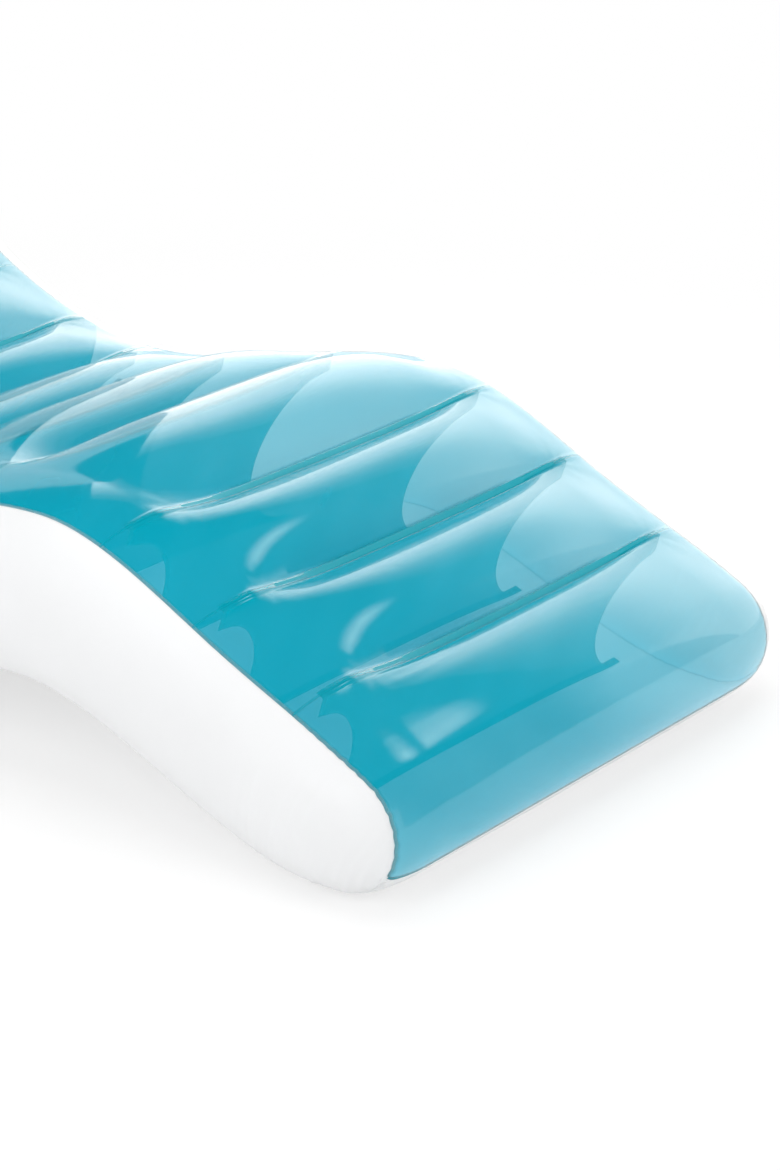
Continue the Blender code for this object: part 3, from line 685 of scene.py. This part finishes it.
def film_streaks(tree, shader):
    """Fine creases along the welds, about 12 mm apart as in pulled film, over the ripples."""
    ripples = shader.inputs["Normal"].links[0].from_socket
    place = add_node(tree, "ShaderNodeUVMap", {"uv_map": "film_map"}).outputs["UV"]
    stretched = add_node(
        tree, "ShaderNodeMapping", values={"Scale": (5.0, 1 / 0.012, 1.0)}, links={"Vector": place}
    )
    lines = add_node(
        tree,
        "ShaderNodeTexNoise",
        values={"Scale": 1.0, "Detail": 1.5, "Roughness": 0.5},
        links={"Vector": stretched.outputs["Vector"]},
    )
    bump = add_node(
        tree,
        "ShaderNodeBump",
        values={"Strength": 0.15, "Distance": 0.0006},
        links={"Height": lines.outputs["Fac"], "Normal": ripples},
    )
    for socket in ("Normal", "Coat Normal"):
        tree.links.new(bump.outputs["Normal"], shader.inputs[socket])


def teal_pvc_film(colour, name="calendered_teal_pvc_film", coat=1.0, roughness=(0.10, 0.16)):
    """Plasticised PVC film, calendered and see-through: glossy, tinted, darker where doubled."""
    material, tree, shader = new_material(
        name,
        {
            "IOR": 1.53,
            "Specular IOR Level": 0.2,
            "Coat Weight": coat,
            "Coat IOR": 1.6,
            "Coat Roughness": 0.02,
        },
    )
    deep = tuple(c * 0.94 for c in colour[:3]) + (1.0,)
    tone = cloudy_film(tree, shader, (deep, tuple(colour)), 0.30, 0.035, roughness)
    doubled = add_node(tree, "ShaderNodeAttribute", {"attribute_name": "doubled"}).outputs["Fac"]
    cover = add_node(
        tree,
        "ShaderNodeMapRange",
        values={"To Min": 0.35, "To Max": 0.92},
        links={"Value": doubled},
    )
    tree.links.new(cover.outputs["Result"], shader.inputs["Alpha"])
    tree.links.new(tone, shader.inputs["Base Color"])
    film_streaks(tree, shader)
    return material


def white_pvc_film(colour):
    """Opaque white PVC film, calendered: satin, with a faint haze and soft ripples."""
    material, tree, shader = new_material(
        "calendered_white_pvc_film", {"IOR": 1.53, "Coat Weight": 0.15, "Coat Roughness": 0.25}
    )
    shade = tuple(c * 0.975 for c in colour[:3]) + (1.0,)
    tone = cloudy_film(tree, shader, (shade, tuple(colour)), 0.25, 0.045, (0.30, 0.42))
    tree.links.new(tone, shader.inputs["Base Color"])
    return material


def film_inner_face():
    """Inner face of the white PVC films, with a painted glow: it emits light, standing in for what
    they let in.

    Its painted light is pale where light comes through the sides, and is painted teal below,
    standing in for the deck's teal.
    """
    # Painted glow: the inner face emits light, standing in for light let in through the film
    material, tree, shader = new_material(
        "inner_face_painted_glow", {"IOR": 1.53, "Emission Strength": 0.62}
    )
    # Painted teal tint on a white film, standing in for light that has come in through the deck
    # film
    tones = (linear("64b4c8"), linear("73bed1"))
    teal = cloudy_film(tree, shader, tones, 0.25, 0.045, (0.35, 0.45))
    painted_daylight = add_node(tree, "ShaderNodeAttribute", {"attribute_name": "painted_daylight"}).outputs["Fac"]
    # Painted light: the glow turns pale where the painted_daylight mask is high
    mix = add_node(
        tree,
        "ShaderNodeMix",
        {"data_type": "RGBA"},
        {SECOND_COLOUR: linear("e2ecec")},
        {"Factor": painted_daylight, FIRST_COLOUR: teal},
    )
    tree.links.new(mix.outputs[2], shader.inputs["Base Color"])
    tree.links.new(mix.outputs[2], shader.inputs["Emission Color"])
    return material


def web_pvc_film():
    """Tinted PVC film of the inner webs: glossy, nearly opaque, with a painted teal glow standing
    in for the light inside.
    """
    tones = (linear("008fa2"), linear("0098ab"))
    # Painted glow: the webs emit teal, standing in for light that reaches them through the deck
    # film
    material, tree, shader = new_material(
        "web_pvc_film_painted_glow",
        {"IOR": 1.53, "Alpha": 0.65, "Emission Color": tones[1], "Emission Strength": 0.75},
    )
    tone = cloudy_film(tree, shader, tones, 0.2, 0.03, (0.15, 0.25))
    tree.links.new(tone, shader.inputs["Base Color"])
    return material


def moulded_vinyl(name, tones, alpha):
    """Injection-moulded soft vinyl: even satin skin with the faint grain of the mould."""
    material, tree, shader = new_material(name, {"IOR": 1.5, "Alpha": alpha})
    tone = cloudy_film(tree, shader, tones, 0.006, 0.0006, (0.36, 0.48))
    tree.links.new(tone, shader.inputs["Base Color"])
    return material


# ---- pieces


def dress(item, node):
    """Parents a finished film to the body that it rides on, and hides the CAD node that it stands
    for.
    """
    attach(item, "lounge")
    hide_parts(node)


class PoolChairSettings(bpy.types.PropertyGroup):
    """Sizes and colours of the pool chair"""

    length: bpy.props.FloatProperty(
        name="Length", description="Length over the seams", default=1.88, unit="LENGTH"
    )
    seam_width: bpy.props.FloatProperty(
        name="Seam width", description="Width between the side seams", default=0.88, unit="LENGTH"
    )
    side_bulge: bpy.props.FloatProperty(
        name="Side bulge", description="How far each side swells out", default=0.06, unit="LENGTH"
    )
    weld_band: bpy.props.FloatProperty(
        name="Weld band", description="Width of each weld line", default=0.013, unit="LENGTH"
    )
    film: bpy.props.FloatProperty(
        name="Film", description="Thickness of the film", default=0.00035, unit="LENGTH"
    )
    deck_crown: bpy.props.FloatProperty(
        name="Deck crown",
        description="Height of a deck chamber as a share of its width",
        default=0.235,
        subtype="FACTOR",
    )
    floor_crown: bpy.props.FloatProperty(
        name="Floor crown",
        description="Height of a floor chamber as a share of its width",
        default=0.115,
        subtype="FACTOR",
    )
    deck_colour: bpy.props.FloatVectorProperty(
        name="Deck colour",
        description="Colour of the see-through deck film",
        default=linear("00a6b8"),
        size=4,
        subtype="COLOR",
    )
    white_colour: bpy.props.FloatVectorProperty(
        name="White film colour",
        description="Colour of the white floor and side films",
        default=linear("f6f7f8"),
        size=4,
        subtype="COLOR",
    )


def floor_with_laps(body):
    """The floor film's points, its ends tucked in under the deck film's."""
    grid = body.floor.copy()
    caps = []
    for row, inner_row, toward in ((0, DECK_LAP_CELLS, 1), (-1, -1 - DECK_LAP_CELLS, -1)):
        edge = points_on(body.deck, body.deck_x, row, body.floor_x)
        inner = points_on(body.deck, body.deck_x, inner_row, body.floor_x)
        outward = edge - np.array([0.0, toward * -0.5, 0.3])
        grid[row], lap = lap_under(edge, inner, body.tuck, outward)
        caps.append(lap)
    return np.concatenate([caps[0][None], grid, caps[1][None]], 0)


def doubled_film(body, x, s):
    """How dense the deck film looks, 0 for one layer: denser at seams, welds and the head nose."""
    to_end = np.minimum(s, body.deck_line.length - s)
    to_side = body.half - np.abs(x)
    end_seams = END_SEAM_COVER * (1 - smooth_step((to_end - END_SEAM_WIDTH) / SEAM_BLUR))
    side_seams = SIDE_SEAM_COVER * (1 - smooth_step((to_side - SIDE_SEAM_WIDTH) / SEAM_BLUR))
    from_weld = np.abs(s[..., None] - body.deck_welds).min(-1)
    reach = np.where(x < 0, *CHAMBER_ENDS)
    tapered = np.sqrt(smooth_step((reach - np.abs(x)) / STRIP_TAPER))
    strips = smooth_step((tapered * body.band / 2 - from_weld) / STRIP_BLUR + 0.5)
    upward = body.deck_line.normals(body.rows)[:, 2][:, None]
    nose = np.where(s > body.deck_welds[-1], NOSE_COVER * smooth_step(0.4 - 2 * upward), 0.0)
    return np.maximum.reduce([end_seams, side_seams, strips, nose])


def white_films(context):
    """Materials of the floor's and the sides' outer face and inner face, made once for both."""
    outer = bpy.data.materials.get("calendered_white_pvc_film")
    inner = bpy.data.materials.get("inner_face_painted_glow")
    colour = context.scene.pool_chair.white_colour
    return (outer or white_pvc_film(colour), inner or film_inner_face())


class POOLCHAIR_OT_deck(bpy.types.Operator):
    """Builds the see-through teal deck film, denser and matt along its welds"""

    bl_idname = "pool_chair.deck"
    bl_label = "Deck film"

    def execute(self, context):
        sizes = context.scene.pool_chair
        body = Body(sizes)
        teal = teal_pvc_film(sizes.deck_colour)
        x, s = np.meshgrid(body.deck_x, body.rows)
        deck = film_object(
            "deck_film",
            body.deck,
            (0, 0, 1),
            (teal,),
            body.film,
            uv=np.stack([x, s], -1),
            layers={"doubled": doubled_film(body, x, s)},
        )
        # The welded strips, pressed between heated bars: the same film, its gloss gone
        matt = teal_pvc_film(sizes.deck_colour, "welded_teal_pvc_film", 0.12, (0.45, 0.55))
        deck.data.materials.append(matt)
        level = np.zeros(len(deck.data.vertices), np.float32)
        deck.data.attributes["doubled"].data.foreach_get("value", level)
        for face in deck.data.polygons:
            face.material_index = int(level[list(face.vertices)].min() > MATT_COVER)
        dress(deck, "deck_sheet")
        return {"FINISHED"}


class POOLCHAIR_OT_floor(bpy.types.Operator):
    """Builds the white floor film, its ends lapped in under the deck film's"""

    bl_idname = "pool_chair.floor"
    bl_label = "Floor film"

    def execute(self, context):
        body = Body(context.scene.pool_chair)
        grid = floor_with_laps(body)
        # Painted light: the floor's inner face glows paler towards the side films
        most, start = FLOOR_PAINTED_DAYLIGHT
        across = np.abs(body.floor_x)[None] / body.half + np.zeros((len(grid), 1))
        floor = film_object(
            "floor_film",
            grid,
            (0, 0, -1),
            white_films(context),
            body.film,
            layers={"painted_daylight": most * smooth_step((across - start) / (1 - start))},
        )
        dress(floor, "floor_sheet")
        return {"FINISHED"}


class POOLCHAIR_OT_sides(bpy.types.Operator):
    """Builds the two white side films, bulged out and puckered along their seams"""

    bl_idname = "pool_chair.sides"
    bl_label = "Side films"

    def execute(self, context):
        body = Body(context.scene.pool_chair)
        # Painted light: the sides' inner faces glow paler towards their top
        least, gain, gain_height = SIDE_PAINTED_DAYLIGHT
        for hand, side in (("left", -1), ("right", 1)):
            grid = side_film_points(body, side)
            up = np.linspace(0, 1, grid.shape[1])[None] + np.zeros((len(grid), 1))
            item = film_object(
                f"{hand}_side_film",
                grid,
                (side, 0, 0),
                white_films(context),
                body.film,
                layers={"painted_daylight": least + gain * smooth_step(up / gain_height)},
            )
            dress(item, f"{hand}_side_panel")
        return {"FINISHED"}


class POOLCHAIR_OT_webs(bpy.types.Operator):
    """Builds the eight webs that hold deck and floor together, and the chamber divider"""

    bl_idname = "pool_chair.webs"
    bl_label = "Webs"

    def execute(self, context):
        body = Body(context.scene.pool_chair)
        web = web_pvc_film()
        for index in range(len(DECK_WELD_Y_SHARES)):
            if index == DIVIDER_INDEX:
                name, node, grid = "divider_film", "chamber_divider", divider_points(body)
            else:
                name, node = f"web_film_{index + 1}", f"web_{index + 1}"
                grid = web_points(body, index)
            item = film_object(name, grid, (0, -1, 0), (web,), body.film)
            dress(item, node)
        return {"FINISHED"}


class POOLCHAIR_OT_valves(bpy.types.Operator):
    """Gives the two push-in air valves their moulded vinyl finish"""

    bl_idname = "pool_chair.valves"
    bl_label = "Air valves"

    def execute(self, context):
        white = moulded_vinyl("moulded_white_vinyl", (linear("eceeee"), linear("f4f5f5")), 1.0)
        soft = moulded_vinyl("moulded_clear_vinyl", (linear("d2dcdc"), linear("e2eaea")), 0.75)
        for name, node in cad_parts.items():
            if "_valve_" in name:
                node.data.materials.clear()
                node.data.materials.append(soft if name.endswith("flap") else white)
        return {"FINISHED"}


# ---- studio


def area_light(name, place, target, size, radiance):
    """Soft light that the gloss does not show. Size is (width, height) in metres."""
    data = bpy.data.lights.new(name, "AREA")
    data.shape = "RECTANGLE"
    data.size, data.size_y = size
    data.energy = 4 * size[0] * size[1] * radiance
    item = bpy.data.objects.new(name, data)
    bpy.context.scene.collection.objects.link(item)
    item.location = place
    item.rotation_mode = "QUATERNION"
    item.rotation_quaternion = (Vector(target) - Vector(place)).to_track_quat("-Z", "Y")
    item.visible_camera = False
    item.visible_glossy = False


def stage_plane(name, size, hidden_from=()):
    """Plane of the studio, before it is placed."""
    bpy.ops.object.select_all(action="DESELECT")
    bpy.ops.mesh.primitive_plane_add(size=size)
    item = bpy.context.active_object
    item.name = name
    item.rotation_mode = "QUATERNION"
    for flag in hidden_from:
        setattr(item, flag, False)
    return item


def studio_floor():
    """White floor: shaded and keeping the shadow near the chair, plain white further out."""
    floor = stage_plane("studio_floor", FLOOR_SIZE)
    floor.location = (0, 0, -FLOOR_DROP)
    material, tree, shader = new_material(
        "white_studio_floor", {"Roughness": 1.0, "Specular IOR Level": 0.0}
    )
    shader.inputs["Base Color"].default_value = linear("f3f3f3")
    rays = add_node(tree, "ShaderNodeLightPath").outputs
    seen = rays["Is Camera Ray"]
    for kind in ("Is Glossy Ray", "Is Transmission Ray"):
        seen = add_node(
            tree, "ShaderNodeMath", {"operation": "MAXIMUM"}, links={0: seen, 1: rays[kind]}
        ).outputs[0]
    faint = add_node(tree, "ShaderNodeBsdfDiffuse", values={"Color": (0.40, 0.40, 0.40, 1.0)})
    glow = add_node(tree, "ShaderNodeEmission", values={"Strength": 0.64})
    lit = add_node(tree, "ShaderNodeAddShader", links={0: faint.outputs[0], 1: glow.outputs[0]})
    near = add_node(
        tree, "ShaderNodeMixShader", links={0: seen, 1: shader.outputs[0], 2: lit.outputs[0]}
    )
    place = add_node(tree, "ShaderNodeTexCoord").outputs["Object"]
    away = add_node(tree, "ShaderNodeVectorMath", {"operation": "LENGTH"}, links={0: place})
    fade = add_node(
        tree,
        "ShaderNodeMapRange",
        {"interpolation_type": "SMOOTHSTEP"},
        {"From Min": 1.5, "From Max": 2.6},
        {"Value": away.outputs["Value"]},
    )
    plain = add_node(tree, "ShaderNodeEmission", values={"Strength": 1.0})
    mix = add_node(
        tree,
        "ShaderNodeMixShader",
        links={0: fade.outputs["Result"], 1: near.outputs[0], 2: plain.outputs[0]},
    )
    tree.links.new(mix.outputs[0], tree.nodes["Material Output"].inputs["Surface"])
    floor.data.materials.append(material)


def studio_world():
    """White walls up to a height, and dimmer above them."""
    world = bpy.data.worlds.new("studio")
    bpy.context.scene.world = world
    world.use_nodes = True
    tree = world.node_tree
    direction = add_node(tree, "ShaderNodeTexCoord").outputs["Generated"]
    height = add_node(tree, "ShaderNodeSeparateXYZ", links={"Vector": direction}).outputs["Z"]
    level = add_node(
        tree,
        "ShaderNodeMapRange",
        values={
            "From Min": math.sin(math.radians(26)),
            "From Max": math.sin(math.radians(28)),
            "To Min": 1.0,
            "To Max": 0.02,
        },
        links={"Value": height},
    )
    background = tree.nodes["Background"]
    background.inputs["Color"].default_value = (1.0, 1.0, 1.0, 1.0)
    tree.links.new(level.outputs["Result"], background.inputs["Strength"])


def card(name, azimuth, distance, across, height):
    """Upright card that faces the chair, seen in the film's gloss alone.

    Across is where its two edges lie along it, in metres.
    """
    out = Vector((math.cos(azimuth), math.sin(azimuth), 0))
    along = Vector((-math.sin(azimuth), math.cos(azimuth), 0))
    item = stage_plane(name, 1.0, HIDDEN_FROM)
    item.scale = (across[1] - across[0], height, 1.0)
    middle = along * (across[0] + across[1]) / 2
    item.location = out * distance + middle + Vector((0, 0, height / 2))
    item.rotation_quaternion = out.to_track_quat("-Z", "Y")
    return item


def bright_card():
    """Wide bright card on the right, dimmer towards its top: its edges show in the gloss."""
    item = card("bright_card", math.radians(25), 6.2, (-12.2, 2.4), 7.1)
    material, tree, _ = new_material("bright_card", {})
    place = add_node(tree, "ShaderNodeTexCoord").outputs["Object"]
    along = add_node(tree, "ShaderNodeSeparateXYZ", links={"Vector": place}).outputs
    level, fade = (
        add_node(
            tree,
            "ShaderNodeMapRange",
            {"interpolation_type": "SMOOTHSTEP"},
            {"From Min": start, "From Max": 0.5, "To Min": levels[0], "To Max": levels[1]},
            {"Value": along[axis]},
        ).outputs["Result"]
        for axis, start, levels in (("X", -0.5, CARD_LEVELS), ("Y", 0.05, CARD_FADE))
    )
    both = add_node(
        tree, "ShaderNodeMath", {"operation": "MULTIPLY"}, links={0: level, 1: fade}
    )
    glow = add_node(
        tree,
        "ShaderNodeEmission",
        values={"Color": WARM_WHITE},
        links={"Strength": both.outputs[0]},
    )
    tree.links.new(glow.outputs[0], tree.nodes["Material Output"].inputs["Surface"])
    item.data.materials.append(material)


def round_softbox():
    """Round soft light up on the right, for the glow in the gloss at the tips of the welds."""
    item = stage_plane("round_softbox", 2.0, HIDDEN_FROM)
    item.scale = (SOFTBOX_RADIUS, SOFTBOX_RADIUS, 1.0)
    item.location = SOFTBOX_PLACE
    item.rotation_quaternion = Vector(SOFTBOX_DIRECTION).to_track_quat("-Z", "Y")
    material, tree, _ = new_material("round_softbox", {})
    place = add_node(tree, "ShaderNodeTexCoord").outputs["Object"]
    away = add_node(tree, "ShaderNodeVectorMath", {"operation": "LENGTH"}, links={0: place})
    level = add_node(
        tree,
        "ShaderNodeMapRange",
        {"interpolation_type": "SMOOTHSTEP"},
        {"From Min": 0.0, "From Max": 1.0, "To Min": SOFTBOX_PEAK, "To Max": 0.0},
        {"Value": away.outputs["Value"]},
    )
    glow = add_node(
        tree,
        "ShaderNodeEmission",
        values={"Color": WARM_WHITE},
        links={"Strength": level.outputs["Result"]},
    )
    clear = add_node(tree, "ShaderNodeBsdfTransparent")
    both = add_node(tree, "ShaderNodeAddShader", links={0: glow.outputs[0], 1: clear.outputs[0]})
    tree.links.new(both.outputs[0], tree.nodes["Material Output"].inputs["Surface"])
    item.data.materials.append(material)


def dark_card():
    """Dark card beyond the foot end's right corner, seen only in the film's gloss."""
    item = card("dark_card", math.radians(-62), 7.0, (-3.1, 3.1), 6.0)
    material, _, shader = new_material("black_card", {"Roughness": 1.0})
    shader.inputs["Base Color"].default_value = linear("101010")
    item.data.materials.append(material)


def photo_camera():
    """Camera at the place and with the lens that took the photograph."""
    data = bpy.data.cameras.new("photo_camera")
    data.sensor_width = 36.0
    data.lens = FOCAL_PIXELS * data.sensor_width / PHOTO_HEIGHT
    camera = bpy.data.objects.new("photo_camera", data)
    bpy.context.scene.collection.objects.link(camera)
    a, e = CAMERA_AZIMUTH, CAMERA_ELEVATION
    back = Vector((math.sin(a) * math.cos(e), -math.cos(a) * math.cos(e), math.sin(e)))
    camera.location = CAMERA_PLACE
    camera.rotation_mode = "QUATERNION"
    camera.rotation_quaternion = (-back).to_track_quat("-Z", "Y")
    bpy.context.scene.camera = camera


class POOLCHAIR_OT_studio(bpy.types.Operator):
    """Sets up the pale floor, the soft lights and the camera"""

    bl_idname = "pool_chair.studio"
    bl_label = "Studio"

    def execute(self, context):
        context.scene.view_settings.view_transform = "Standard"
        studio_floor()
        studio_world()
        dark_card()
        bright_card()
        round_softbox()
        area_light("overhead_light", (0, 0, 4.2), (0, 0, 0), (4.0, 4.0), 1.9)
        for name, place, size, radiance in LIGHTS:
            area_light(name, place, CHAIR_MIDDLE, size, radiance)
        photo_camera()
        return {"FINISHED"}


class POOLCHAIR_PT_panel(bpy.types.Panel):
    """Lists the steps that build the pool chair"""

    bl_idname = "POOLCHAIR_PT_panel"
    bl_label = "Pool chair"
    bl_space_type = "VIEW_3D"
    bl_region_type = "UI"
    bl_category = "Pool chair"

    def draw(self, context):
        settings = context.scene.pool_chair
        for name in settings.bl_rna.properties.keys():
            if name not in ("rna_type", "name"):
                self.layout.prop(settings, name)
        for operator in OPERATORS:
            self.layout.operator(operator.bl_idname)


OPERATORS = (
    POOLCHAIR_OT_deck,
    POOLCHAIR_OT_floor,
    POOLCHAIR_OT_sides,
    POOLCHAIR_OT_webs,
    POOLCHAIR_OT_valves,
    POOLCHAIR_OT_studio,
)
CLASSES = (PoolChairSettings, *OPERATORS, POOLCHAIR_PT_panel)


def register():
    for item in CLASSES:
        bpy.utils.register_class(item)
    bpy.types.Scene.pool_chair = bpy.props.PointerProperty(type=PoolChairSettings)


def unregister():
    del bpy.types.Scene.pool_chair
    for item in reversed(CLASSES):
        bpy.utils.unregister_class(item)


def main():
    register()
    bpy.ops.pool_chair.deck()
    bpy.ops.pool_chair.floor()
    bpy.ops.pool_chair.sides()
    bpy.ops.pool_chair.webs()
    bpy.ops.pool_chair.valves()
    bpy.ops.pool_chair.studio()


if __name__ == "__main__":
    main()
